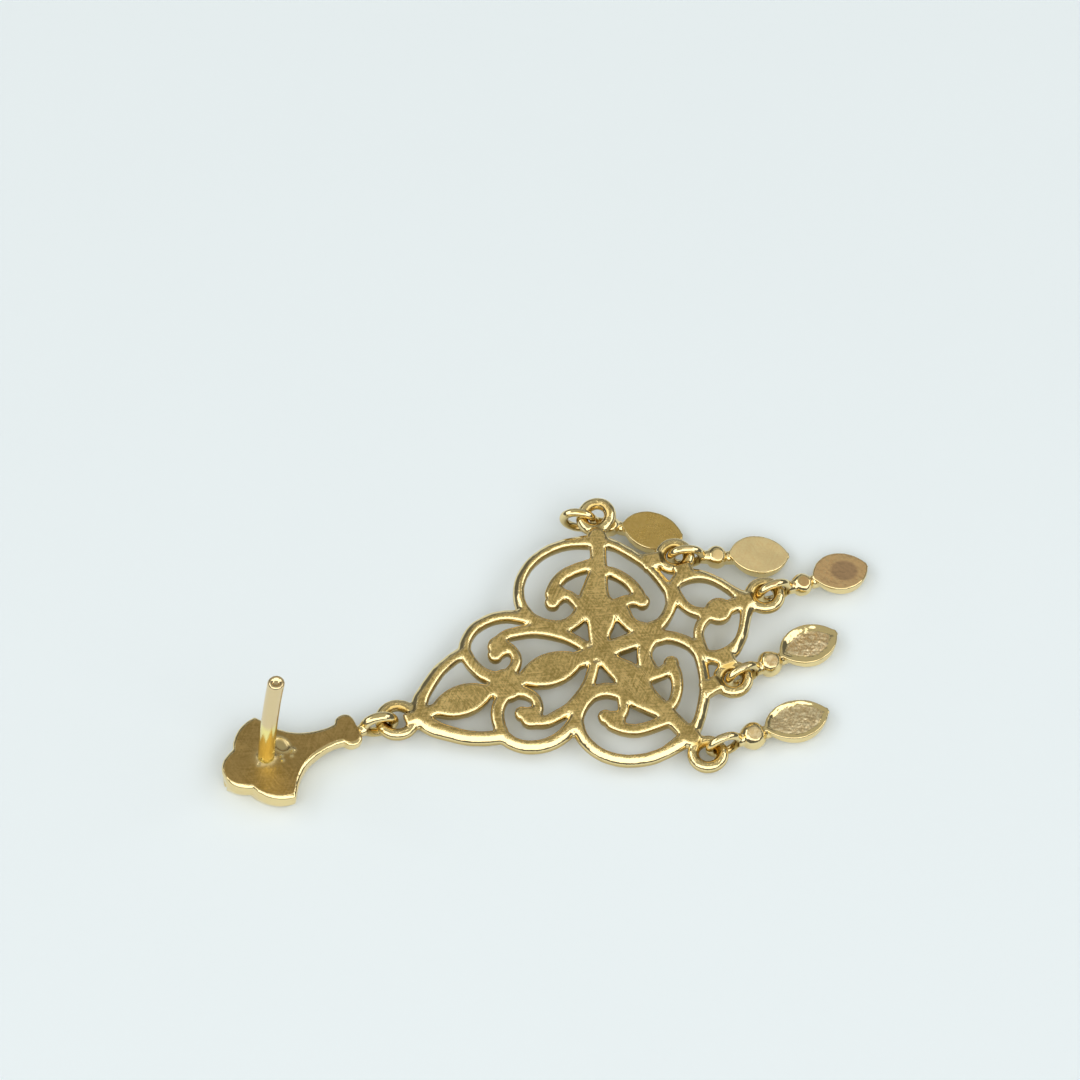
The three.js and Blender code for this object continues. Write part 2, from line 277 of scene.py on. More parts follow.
def addBoss(bm, x, y, radius, levels, steps=40):
    # a round boss with the same levels as the bars
    profile = [(radius - inset, height) for height, inset, _ in levels]
    profile = [(0, profile[0][1]), *profile, (0, profile[-1][1])]
    addTurned(bm, profile, Matrix.Translation((x, y, 0)), steps)


def addRod(bm, start, end, radius, place=Matrix(), steps=24):
    # a round rod along X
    addTurned(bm, [(0, start), (radius, start), (radius, end), (0, end)], place @ quarterTurn("Y"), steps)


def addBead(bm, x, radius, filed, share):
    # a ball on the X axis with a flat filed across it, at a share of its radius from its centre
    centre = Vector((x, 0, 0))
    ball = bmesh.ops.create_uvsphere(bm, u_segments=32, v_segments=18, radius=radius,
                                     matrix=Matrix.Translation(centre))["verts"]
    geometry = [*ball, *{edge for vert in ball for edge in vert.link_edges},
                *{face for vert in ball for face in vert.link_faces}]
    rim = bmesh.ops.bisect_plane(bm, geom=geometry, plane_co=filed * share * radius + centre,
                                 plane_no=filed, clear_outer=True)["geom_cut"]
    bmesh.ops.holes_fill(bm, edges=[item for item in rim if isinstance(item, bmesh.types.BMEdge)])


def leafArc(length, halfWidth):
    # radius of the two arcs that make a leaf's outline
    return (length ** 2 / 4 + halfWidth ** 2) / (2 * halfWidth)


def leafStations(length, halfWidth, tipWidth, steps):
    radius = leafArc(length, halfWidth)
    stations = []
    for i in range(steps + 1):
        x = -math.cos(math.pi * i / steps) * length / 2
        half = math.sqrt(radius ** 2 - x ** 2) - (radius - halfWidth)
        stations.append((x, 0, max(2 * half, tipWidth)))
    return stations


def castTogether(bm, voxel, rounds, swell):
    # fuses overlapping solids into one casting and rounds its edges
    bmesh.ops.recalc_face_normals(bm, faces=bm.faces[:])
    mesh = bpy.data.meshes.new("casting")
    bm.to_mesh(mesh)
    bm.free()
    holder = addObject("casting", mesh)
    fuse = holder.modifiers.new("fuse", "REMESH")
    fuse.mode, fuse.voxel_size = "VOXEL", voxel
    swelling = holder.modifiers.new("swell", "DISPLACE")
    swelling.strength, swelling.mid_level = swell, 0.0
    soften = holder.modifiers.new("soften", "SMOOTH")
    soften.factor, soften.iterations = 0.5, rounds
    fused = bpy.data.meshes.new_from_object(holder.evaluated_get(bpy.context.evaluated_depsgraph_get()))
    bpy.data.objects.remove(holder)
    bpy.data.meshes.remove(mesh)
    return fused


def surface(mesh):
    # every vertex with its normal and place, read before any of them moves
    return [(vert, vert.normal.copy(), vert.co.copy()) for vert in mesh.vertices]


def ease(value, low, high):
    t = min(max((value - low) / (high - low), 0.0), 1.0)
    return t * t * (3 - 2 * t)


def bell(value, middle, width):
    return math.exp(-((value - middle) / width) ** 2)


def ovalReach(x, y, size):
    # 1 on the rim of an oval, less inside it
    return Vector((x / size[0], y / size[1])).length


ringShade = {"wire": (0.2, 0.4), "facing": (-0.1, 0.7)}     # distance from the wire's middle line, cosine


def insideRing(point, normal, centre, axis, radius):
    # how far a spot on a ring's wire faces the ring's middle, and nothing away from the ring
    across = point - centre
    across -= axis * across.dot(axis)
    off = abs(across.length - radius)
    if off > ringShade["wire"][1]:
        return 0.0
    onWire = 1 - ease(off, *ringShade["wire"])
    return onWire * ease(-normal.dot(across.normalized()), *ringShade["facing"])


def waver(point, layer, shift=0):
    # smooth noise from a layer of (depth, scale, seed)
    depth, scale, seed = layer
    seed += shift
    return depth * noise.noise(point * scale + Vector((seed, 2.7 * seed, -seed)))


def finishPiece(name, mesh, place, material, node, marks):
    # marks holds one number for each vertex under each attribute's name
    for key, numbers in marks.items():
        layer = mesh.attributes.new(key, "FLOAT", "POINT")
        layer.data.foreach_set("value", numbers)
    mesh.transform(place)
    mesh.shade_smooth()
    piece = addObject(name, mesh)
    mesh.materials.clear()
    mesh.materials.append(material)
    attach(piece, "root")
    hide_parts(node)
    low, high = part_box(node)
    corners = [Vector(vert.co) for vert in mesh.vertices]
    ends = [(min(c[i] for c in corners), max(c[i] for c in corners)) for i in range(3)]
    gap = [round(max(low[i] - ends[i][0], ends[i][1] - high[i]) * 1000, 3) for i in range(3)]
    print(name, "built,", len(mesh.polygons), "faces, outside the solid's box by", gap, "mm")


# ---- finishes
goldLook = {
    "polish": (0.87, 0.70, 0.355, 1), "polishRough": 0.08,
    "satinDark": (0.48, 0.338, 0.108, 1), "satinLight": (0.86, 0.635, 0.26, 1), "satinRough": 0.34,
    # the colour of the painted shade on walls, ring insides and bead flats, with its roughness
    "paintedShadeAndReflection": (0.42, 0.285, 0.075, 1), "paintedShadeAndReflectionRough": 0.12,
    "solder": (0.70, 0.58, 0.30, 1), "solderRough": 0.15,
    # how strong the brushing, its relief and its marks in the colour are
    "brush": 0.5, "grain": 0.8, "edgeGrain": 0.1, "bumpDepth": 0.00004, "streak": 0.76,
    "speckleTone": 3.4, "strokeTone": 6.5, "patchTone": 0.2, "roughPatch": 0.08, "roughFine": 0.12,
    # noises as (scale, detail, roughness) over millimetres, with the steps that sharpen two of them
    "patches": (0.8, 3.0), "patchEdge": (0.35, 0.65), "fine": (9.0, 4.0, 0.65),
    "speckle": (6.5, 3.0, 0.6), "hair": (1.0, 4.0, 0.7), "hairStretch": (1.1, 10.0, 3.0),
    "reach": (0.9, 2.0), "reachEdge": (0.42, 0.6, 0.25, 1.0),
    "brushTurns": (18, 74, 131), "reachTurns": (7, 38, 69),     # degrees
}
studLook = {"brush": 0.2, "grain": 0.5, "streak": 0.4, "satinRough": 0.42,
            "satinDark": (0.39, 0.257, 0.084, 1), "satinLight": (0.56, 0.38, 0.143, 1)}
# the yellower lower part of the post is a painted warm reflection
postLook = {"polish": (0.79, 0.62, 0.35, 1), "polishRough": 0.11,
            "paintedShadeAndReflection": (0.97, 0.84, 0.33, 1), "paintedShadeAndReflectionRough": 0.0}
panelGold = goldFinish("panelGold", goldLook)
studGold = goldFinish("studGold", {**goldLook, **studLook})
postGold = goldFinish("postGold", {**goldLook, **postLook})
print("finishes mixed")

# ---- where everything lies, in millimetres
earringShift = Vector((2.8704, -0.0623, 0.0045))     # from the panel's centre to the middle of the box
ringRest = 0.949     # how high the centre of a ring is when its wire lies on the table
ringSquash = 0.84     # the rings are a little oval
uprightRing = Matrix.Scale(ringSquash, 4, (0, 0, 1)) @ quarterTurn("X")


def inPlace(matrix):
    return Matrix.Scale(0.001, 4) @ Matrix.Translation(earringShift) @ matrix


# ---- filigree panel
filigreePanel = {
    "thickness": 0.95, "spacing": 0.16,
    # from the back down: height, inset of an inner wall, inset of an outer wall
    "levels": [(0.475, 0.05, 0.3), (0.38, -0.05, 0.165), (0.285, -0.09, 0.03), (0.17, -0.09, -0.05),
               (0.0, -0.07, -0.07), (-0.15, -0.04, -0.03), (-0.475, 0.17, 0.2)],
    "leafPoint": 0.2, "leafSteps": 40, "loopWire": 0.7,
    "midHeight": 1.25, "riseX": 0.030, "riseY": 0.068,     # how it lies, sloping along and across
    "voxel": 0.084, "rounds": 2, "swell": 0.015,
    # what counts as flat: how deep below the back, and the normal's height
    "flatDepth": 0.12, "flatFrom": (0.955, 0.995), "flatCalm": 0.85,
    # painted shade on the upright walls, and the heights of the normal between which it comes and goes
    "wallPaintedShade": 0.7, "wallTop": (0.12, 0.42), "wallFoot": (-0.8, -0.45),
    # unevenness as (depth, scale, seed)
    "wobble": (0.018, 1.3, 3), "dents": (0.008, 3.7, 8),
}
# one half's strokes as [x, y, width]
halfStrokes = {
    "almondArm": [[-11.2, 0.05, 0.9], [-10.7, 1.0, 0.8], [-9.95, 1.7, 0.7], [-9.0, 2.42, 0.66],
                  [-8.1, 2.82, 0.62], [-7.15, 3.1, 0.62]],
    "almondStrut": [[-7.1, 3.1, 0.62], [-7.05, 2.4, 0.6], [-6.92, 1.8, 0.6], [-6.6, 1.15, 0.62],
                    [-5.9, 0.5, 0.7]],
    "firstLobe": [[-7.1, 3.1, 0.6], [-6.75, 3.7, 0.56], [-6.1, 4.25, 0.56], [-5.3, 4.52, 0.58],
                  [-4.6, 4.56, 0.6], [-3.9, 4.4, 0.62], [-3.3, 4.12, 0.68], [-2.6, 3.62, 0.7]],
    "firstScroll": [[-0.3, 0.55, 0.5], [-0.8, 1.3, 0.52], [-1.35, 1.95, 0.6], [-2.0, 2.45, 0.64],
                    [-2.8, 2.85, 0.58], [-3.6, 3.03, 0.54], [-4.4, 3.12, 0.52], [-5.05, 2.9, 0.5]],
    "firstBranch": [[-4.85, 2.6, 0.5], [-4.5, 2.1, 0.48], [-4.43, 1.5, 0.48], [-4.7, 1.0, 0.5],
                    [-5.4, 0.5, 0.6]],
    "secondLobe": [[-2.85, 4.3, 0.6], [-2.8, 5.1, 0.52], [-2.48, 5.95, 0.5], [-1.97, 6.63, 0.5],
                   [-1.3, 7.15, 0.5], [-0.6, 7.47, 0.5], [0.2, 7.66, 0.52], [1.0, 7.68, 0.52],
                   [1.8, 7.52, 0.6], [2.9, 7.2, 0.85]],
    "lobeRoot": [[-2.85, 4.4, 0.62], [-2.7, 3.75, 0.62], [-2.3, 3.15, 0.66], [-1.7, 2.65, 0.7],
                 [-1.0, 2.4, 0.7], [-0.3, 2.52, 0.72], [0.4, 2.95, 0.8]],
    "secondScroll": [[2.6, 5.7, 0.6], [1.8, 5.72, 0.56], [1.0, 5.75, 0.54], [0.3, 5.65, 0.56],
                     [-0.35, 5.3, 0.58], [-0.8, 4.85, 0.6]],
    "secondBranch": [[-0.4, 4.55, 0.5], [0.05, 4.2, 0.5], [0.25, 3.7, 0.5], [0.5, 3.0, 0.7]],
    "stem": [[3.15, 7.35, 1.0], [2.8, 6.5, 0.8], [2.55, 5.8, 0.8], [2.2, 5.0, 0.98],
             [1.72, 4.2, 1.35], [1.35, 3.4, 1.75], [1.3, 2.7, 1.9], [1.12, 1.9, 1.55],
             [0.72, 1.15, 1.15], [0.4, 0.3, 0.95]],
    "outerArm": [[3.2, 7.1, 0.7], [3.9, 6.45, 0.52], [4.42, 5.75, 0.5], [4.85, 5.05, 0.5],
                 [5.2, 4.3, 0.5], [5.45, 3.5, 0.52], [5.62, 2.8, 0.6], [5.8, 2.2, 0.8]],
    "innerTendril": [[2.45, 5.05, 0.5], [3.0, 4.75, 0.48], [3.43, 4.2, 0.5], [3.72, 3.6, 0.54],
                     [3.84, 3.0, 0.62], [3.82, 2.45, 0.68]],
    "tendrilFoot": [[1.9, 2.5, 0.8], [2.6, 2.6, 0.66], [3.2, 2.62, 0.58], [3.85, 2.4, 0.6]],
    "pillar": [[2.4, 2.9, 0.8], [2.5, 2.1, 0.88], [2.57, 1.4, 0.76], [2.8, 0.85, 0.76], [3.4, 0.3, 0.8]],
    "archFoot": [[5.8, 2.3, 0.8], [5.45, 1.5, 0.56], [4.98, 0.93, 0.52], [4.4, 0.5, 0.56],
                 [3.8, 0.3, 0.8], [3.0, 0.15, 0.9]],
    "crownWall": [[5.85, 2.35, 0.7], [6.0, 1.6, 0.46], [6.15, 1.0, 0.44], [6.5, 0.5, 0.46],
                  [7.1, 0.1, 0.5]],
    "crownArm": [[5.7, 2.45, 0.7], [6.3, 2.75, 0.62], [7.0, 2.92, 0.72], [7.65, 2.75, 0.64],
                 [8.2, 2.35, 0.5], [8.65, 1.85, 0.46], [9.05, 1.2, 0.46], [9.4, 0.6, 0.6],
                 [9.85, 0.1, 0.7]],
    "sideLoopNeck": [[6.95, 2.8, 0.95], [6.95, 3.65, 0.95]],
    "sideLoopBrace": [[6.0, 2.55, 0.5], [6.68, 3.08, 0.5]],
    "sideLoopCheek": [[4.95, 4.7, 0.85], [6.0, 4.5, 0.85]],
}
# strokes with one wall on the panel's outside
outerStrokes = {"almondArm", "firstLobe", "secondLobe", "outerArm", "crownArm"}
# round bosses of one half as [x, y, radius]
halfBosses = {
    "firstScrollHead": [-5.1, 2.55, 0.6], "firstScrollTip": [-5.5, 2.13, 0.37],
    "secondScrollHead": [-0.65, 4.6, 0.56], "secondScrollTip": [-1.05, 4.17, 0.37],
    "tendrilTip": [3.9, 2.25, 0.36], "shoulder": [3.1, 7.35, 0.5],
}
# on the axis: leaves as [start, end, half width], bosses as [x, radius], bars as [start, end, width]
axisLeaves = [[-10.4, -6.45, 0.94], [-4.95, -0.7, 1.0]]
axisBosses = [[-5.7, 0.98], [7.85, 0.74], [-11.0, 0.5]]
axisBars = [[-7.0, -4.4, 0.7], [-1.4, 4.3, 0.9], [6.6, 10.0, 0.72], [-12.0, -10.2, 0.62]]
# loops as [x, y, radius, lift, twist in degrees]
panelLoops = {
    "topLoop": [-12.4, 0.33, 0.98, 0, 0], "loopOne": [3.6, 8.74, 0.86, 0.06, 16],
    "loopTwo": [6.88, 4.5, 0.86, 0, 0], "loopThree": [10.82, 0.05, 0.86, 0, 0],
    "loopFour": [6.88, -4.5, 0.86, 0, 0], "loopFive": [3.6, -8.6, 0.86, 0, 0],
}


def makePanel(setup):
    bm = bmesh.new()
    levels = setup["levels"]
    for name, rows in halfStrokes.items():
        for side in (1, -1):
            run = smoothRun([(x, side * y, width) for x, y, width in rows], setup["spacing"])
            addBar(bm, run, levels, outer=side if name in outerStrokes else 0)
    for x, y, radius in halfBosses.values():
        addBoss(bm, x, y, radius, levels)
        addBoss(bm, x, -y, radius, levels)
    for x, radius in axisBosses:
        addBoss(bm, x, 0, radius, levels)
    for start, end, width in axisBars:
        addBar(bm, [(start, 0, width), (end, 0, width)], levels)
    for start, end, halfWidth in axisLeaves:
        addBar(bm, leafStations(end - start, halfWidth, setup["leafPoint"], setup["leafSteps"]), levels,
               Matrix.Translation(((start + end) / 2, 0, 0)))
    for x, y, radius, lift, twist in panelLoops.values():
        addHoop(bm, radius, setup["loopWire"],
                Matrix.Translation((x, y, lift)) @ Matrix.Rotation(math.radians(-twist), 4, "Y"))
    mesh = castTogether(bm, setup["voxel"], setup["rounds"], setup["swell"])
    up = Vector((0, 0, 1))
    loops = [(Vector((x, y, lift)), up, radius) for x, y, radius, lift, _ in panelLoops.values()]
    satin, paintedShadeAndReflection = [], []
    for vert, normal, point in surface(mesh):
        onBack = point.z > setup["thickness"] / 2 - setup["flatDepth"]
        flat = ease(normal.z, *setup["flatFrom"]) if onBack else 0.0
        satin.append(flat)
        # painted shade: the upright walls are darker than the rounded edges, and so is the inside of each
        # loop
        wall = (1 - ease(normal.z, *setup["wallTop"])) * ease(normal.z, *setup["wallFoot"])
        inLoops = [insideRing(point, normal, *loop) for loop in loops]
        paintedShadeAndReflection.append(max(setup["wallPaintedShade"] * wall, *inLoops))
        push = waver(point, setup["wobble"]) + waver(point, setup["dents"])
        vert.co = point + normal * push * (1 - setup["flatCalm"] * flat)
    place = Matrix.Translation((0, 0, setup["midHeight"])) @ Euler(
        (math.atan(setup["riseY"]), -math.atan(setup["riseX"]), 0)).to_matrix().to_4x4()
    finishPiece("filigreePanel", mesh, inPlace(place), panelGold,
                "filigree_panel", {"satin": satin, "paintedShadeAndReflection": paintedShadeAndReflection})


makePanel(filigreePanel)

# ---- drops
dropCasting = {
    # all places along the drop are measured from the middle of its ring
    "ringRadius": 0.92, "ringWire": 0.51, "neckRadius": 0.4, "overlap": 0.5,
    "beadReach": 1.85, "beadFiled": (-0.1, -0.31, 0.94), "beadCut": 0.86,
    "leafReach": 2.53, "leafWidth": 2.72, "leafThickness": 0.95, "leafSteps": 48,
    "leafLevels": [(0.475, 0.06, 0.0), (0.38, 0.0, 0.0), (-0.03, 0.02, 0.0), (-0.475, 0.39, 0.0)],
    "pointWidth": 0.4, "pointDepth": 0.3, "bellyReach": 4.75,     # leaf's points, and where it rests
    "voxel": 0.042, "rounds": 7, "swell": 0.01,
    # what counts as flat on the leaf and on the bead, by the normal, and how much painted shade the
    # bead's flat takes
    "margin": 0.1, "leafFlat": (0.94, 0.995), "beadFlat": (0.955, 0.99), "beadPaintedShade": 0.3,
    # unevenness as (depth, scale, seed), and where along the drop the necks' begins
    "wobble": (0.012, 1.9, 11), "flatCalm": 0.7, "grain": (0.005, 5.0, 5),
    "neckWobble": (0.05, 1.7, 20), "neckFrom": (1.2, 1.5),
}
drops = {
    "one": {"node": "drop_1", "at": (2.66, 9.14, 1.61), "turn": -26, "leaf": 3.75, "bead": 0.66},
    "two": {"node": "drop_2", "at": (7.6, 4.4, 1.52), "turn": -15, "leaf": 3.7, "bead": 0.66},
    "three": {"node": "drop_3", "at": (11.5, 0.22, 1.42), "turn": 2, "leaf": 3.6, "bead": 0.68,
              "stain": {"at": (0.22, -0.05), "size": (0.88, 0.76), "edge": (0.78, 1.12)}},
    "four": {"node": "drop_4", "at": (7.62, -4.28, ringRest), "turn": 8, "leaf": 3.9, "bead": 0.76,
             "dish": {"depth": 0.26, "edge": (0.02, 0.6), "pits": 0.1}},
    "five": {"node": "drop_5", "at": (4.72, -8.4, ringRest), "turn": 1, "leaf": 4.15, "bead": 0.8,
             "dish": {"depth": 0.2, "edge": (0.02, 0.44), "pits": 0.08}},
}
# the sunk and pitted middle of a dished leaf, shallower at its near side
leafDish = {
    "facing": 0.3, "rimWaver": (0.07, 2.0, 3), "shallow": 0.05, "deepens": (-0.6, 1.0),
    "pitsFrom": (0.6, 1.0), "satinFrom": (0.75, 1.0),
    "pits": [(0.5, 3.0, 2), (0.4, 6.0, 2), (0.35, 11.0, 9)],
}
# the leaves are one casting; how light each leaf's satin tones are stands for how much light it catches,
# painted light and shade, and leaf two's pale tones are a painted reflection of bright light
leafLooks = {
    "one": {"brush": 0.3, "satinRough": 0.3, "grain": 0.1, "streak": 0.7,
            "satinDark": (0.71, 0.48, 0.14, 1), "satinLight": (0.78, 0.54, 0.18, 1)},
    "two": {"brush": 0.08, "satinRough": 0.55, "grain": 0.1, "streak": 0.6,
            "satinDark": (0.96, 0.745, 0.38, 1), "satinLight": (1.0, 0.82, 0.45, 1)},
    "three": {"brush": 0.1, "satinRough": 0.2, "grain": 0.05, "streak": 0.3,
              "satinDark": (0.98, 0.62, 0.30, 1), "satinLight": (1.0, 0.72, 0.38, 1),
              "stain": (0.69, 0.45, 0.255, 1)},
    "four": {"brush": 0.1, "satinRough": 0.46, "grain": 0.9, "streak": 1.5,
             "satinDark": (0.80, 0.585, 0.31, 1), "satinLight": (1.0, 0.85, 0.55, 1)},
    "five": {"brush": 0.1, "satinRough": 0.48, "grain": 0.9, "streak": 1.3,
             "satinDark": (0.74, 0.57, 0.31, 1), "satinLight": (0.97, 0.83, 0.53, 1)},
}


def sinkDish(point, rim, dish, setup):
    # how far a dished leaf is sunk at a distance from its rim, and how satin it is there
    sunk = ease(rim + waver(point, setup["rimWaver"]), *dish["edge"])
    deeper = setup["shallow"] + (1 - setup["shallow"]) * ease(point.y, *setup["deepens"])
    pits = sum(waver(point, layer) for layer in setup["pits"])
    depth = sunk * dish["depth"] * deeper + ease(sunk, *setup["pitsFrom"]) * dish["pits"] * pits
    return depth, ease(sunk, *setup["satinFrom"])


def castDrop(drop, setup, filed):
    bm = bmesh.new()
    addHoop(bm, setup["ringRadius"], setup["ringWire"], uprightRing)
    addRod(bm, setup["ringRadius"] - setup["ringWire"] / 4, setup["leafReach"] + setup["overlap"],
           setup["neckRadius"])
    addBead(bm, setup["beadReach"], drop["bead"], filed, setup["beadCut"])
    stations = []
    for x, y, width in leafStations(drop["leaf"], setup["leafWidth"] / 2, setup["pointWidth"],
                                    setup["leafSteps"]):
        share = setup["pointDepth"] + (1 - setup["pointDepth"]) * width / setup["leafWidth"]
        stations.append((x, y, width, share))
    addBar(bm, stations, setup["leafLevels"],
           Matrix.Translation((setup["leafReach"] + drop["leaf"] / 2, 0, 0)))
    return castTogether(bm, setup["voxel"], setup["rounds"], setup["swell"])


def makeDrop(key, drop, setup):
    filed = Vector(setup["beadFiled"]).normalized()
    mesh = castDrop(drop, setup, filed)
    half, middle = setup["leafWidth"] / 2, setup["leafReach"] + drop["leaf"] / 2
    arc = leafArc(drop["leaf"], half)
    satin, stain, paintedShadeAndReflection = [], [], []
    for vert, normal, point in surface(mesh):
        beforeLeaf = point.x < setup["leafReach"] - setup["margin"]
        onLeaf = not beforeLeaf and point.z > setup["leafThickness"] / 2 - setup["margin"]
        flat = ease(normal.z, *setup["leafFlat"]) if onLeaf else 0.0
        if beforeLeaf:
            flat = ease(normal.dot(filed), *setup["beadFlat"])
        # painted shade inside the ring and on the bead's filed flat
        if point.x < setup["ringRadius"]:
            paintedShadeAndReflection.append(insideRing(point, normal, Vector(), Vector((0, 1, 0)), setup["ringRadius"]))
        else:
            paintedShadeAndReflection.append(0.0 if onLeaf else setup["beadPaintedShade"] * flat)
        if "stain" in drop:
            x, y = drop["stain"]["at"]
            reach = ovalReach(point.x - middle - x, point.y - y, drop["stain"]["size"])
            stain.append(flat * (1 - ease(reach, *drop["stain"]["edge"])))
        push = waver(point, setup["wobble"], drop["turn"]) * (1 - setup["flatCalm"] * flat)
        push += waver(point, setup["grain"])
        if point.x < setup["leafReach"]:
            push += waver(point, setup["neckWobble"], drop["turn"]) * ease(point.x, *setup["neckFrom"])
        if "dish" in drop and onLeaf and normal.z > leafDish["facing"]:
            side = math.copysign(arc - half, point.y)
            rim = arc - Vector((point.x - middle, point.y + side)).length
            depth, flat = sinkDish(point, rim, drop["dish"], leafDish)
            push -= depth
        satin.append(flat)
        vert.co = point + normal * push
    # the drop dips from its ring until the belly of its leaf meets the table
    dip = math.asin((drop["at"][2] - setup["leafThickness"] / 2) / setup["bellyReach"])
    place = (Matrix.Translation(drop["at"]) @ Matrix.Rotation(math.radians(drop["turn"]), 4, "Z")
             @ Matrix.Rotation(dip, 4, "Y"))
    marks = {"satin": satin, "paintedShadeAndReflection": paintedShadeAndReflection}
    if stain:
        marks["stain"] = stain
    material = goldFinish("leafGold" + key.capitalize(), {**goldLook, **leafLooks[key]})
    finishPiece("drop" + key.capitalize(), mesh, inPlace(place), material,
                drop["node"], marks)


for key, drop in drops.items():
    makeDrop(key, drop, dropCasting)

# ---- stud plate with its ring
studPlate = {
    "thickness": 1.5, "crossbar": 0.95, "at": (-20.44, 0.27), "turn": 2, "spacing": 0.14,
    "levels": [(0.0, 0.2, 0.0), (-0.12, 0.0, 0.0), (-0.3, -0.03, 0.0), (-0.9, 0.05, 0.0),
               (-1.5, 0.42, 0.0)],
    "ringAt": (-13.52, 0.44), "ringTurn": -8, "ringRadius": 0.88, "ringWire": 0.62, "linkRadius": 0.36,
    "voxel": 0.055, "rounds": 5, "swell": 0.012,
    # what counts as flat: how deep below the back, and the normal's height
    "flatDepth": 0.12, "flatFrom": (0.95, 0.995), "flatCalm": 0.6,
    "paintedShadePast": 0.1,     # how far past the plate's end the painted shade inside the ring begins
    # unevenness as (depth, scale, seed)
    "wobble": (0.014, 1.2, 6), "grain": (0.005, 4.0, 4),
}
# outline as [distance towards the drops, full width], lobe by lobe
plateSections = [
    [[-2.85, 0.5], [-2.76, 1.15], [-2.5, 1.95], [-2.1, 2.55], [-1.66, 2.95]],
    [[-1.5, 3.75], [-1.1, 4.8], [-0.6, 5.55], [0.0, 6.0], [0.36, 6.1]],
    [[0.6, 5.4], [0.95, 4.3], [1.35, 3.35], [1.9, 2.45], [2.6, 1.78], [3.4, 1.38], [4.0, 1.28],
     [4.45, 1.4]],
    [[4.6, 1.95], [4.85, 2.22], [5.2, 2.22], [5.45, 1.9], [5.58, 1.2]],
]
earPost = {
    "foot": (-0.14, 0.15), "radius": 0.5, "length": 7.42, "sides": 64,
    "bend": 0.82, "bendCurve": 0.45, "wobble": (0.008, 1.4, 4),
    # a flare at the root as (past the radius, height), a plain stretch in rows with a margin at either
    # end, and a cupped tip as (inside the radius, below the end)
    "flare": [(0.05, -0.4), (0.02, 0.05)], "margin": 0.15, "rows": 30,
    "tip": [(0.03, 0.07), (0.09, 0.015), (0.15, 0.0), (0.22, 0.02), (0.29, 0.1), (0.38, 0.15),
            (0.5, 0.16)],
    # the lower part is painted a warmer yellow than the rest, a painted reflection
    "yellowTo": 3.7, "yellowWaver": (0.5, 1.5, 9), "yellowFade": (-0.3, 0.4),
}
# marks left by soldering, placed from the post's foot: a fillet round the foot, an oval pit with a
# raised lip, and drips as [x, y, radius, height]
solderFillet = {"height": 0.09, "reach": 0.12, "waver": (1.6, 2.5, 1)}
solderPit = {
    "at": (1.13, 0.45), "size": (0.42, 0.6), "turn": 20, "depth": 0.09, "wall": (0.55, 1.0),
    "lip": 0.04, "lipMiddle": 1.05, "lipWidth": 0.16,
    "dull": 0.7, "dullWall": (0.7, 1.0), "shine": 0.8, "shineWidth": 0.2,
}
solderDrips = [[1.62, -0.2, 0.16, 0.11], [1.4, -0.55, 0.09, 0.05], [0.85, -0.3, 0.11, 0.08],
               [0.8, -0.62, 0.1, 0.07], [0.6, 0.5, 0.12, 0.06], [-0.62, -0.35, 0.1, 0.05]]
solderTint = {"colour": 0.8, "satinLoss": 0.6}     # what dull solder does to the finish


def placePlate(setup):
    return (Matrix.Translation((*setup["at"], setup["thickness"]))
            @ Matrix.Rotation(math.radians(setup["turn"]), 4, "Z"))


def solderMarks(point, around, postRadius):
    # how far solder lifts the back at a place beside the post, how dull it is and how polished
    fillet, pit = solderFillet, solderPit
    dull = math.exp(-max(around.length - postRadius, 0) / fillet["reach"])
    lift = fillet["height"] * dull * (1 + waver(point, fillet["waver"]))
    inPit = around - Vector(pit["at"])
    inPit.rotate(Matrix.Rotation(-math.radians(pit["turn"]), 2))
    reach = ovalReach(inPit.x, inPit.y, pit["size"])
    lift += pit["lip"] * bell(reach, pit["lipMiddle"], pit["lipWidth"])
    lift -= pit["depth"] * (1 - ease(reach, *pit["wall"]))
    dull = max(dull, pit["dull"] * (1 - ease(reach, *pit["dullWall"])))
    shine = pit["shine"] * bell(reach, pit["lipMiddle"], pit["shineWidth"])
    for x, y, radius, height in solderDrips:
        drip = bell((around - Vector((x, y))).length, 0, radius)
        lift += height * drip
        shine = max(shine, min(2 * drip, 1))
    return lift, dull, shine


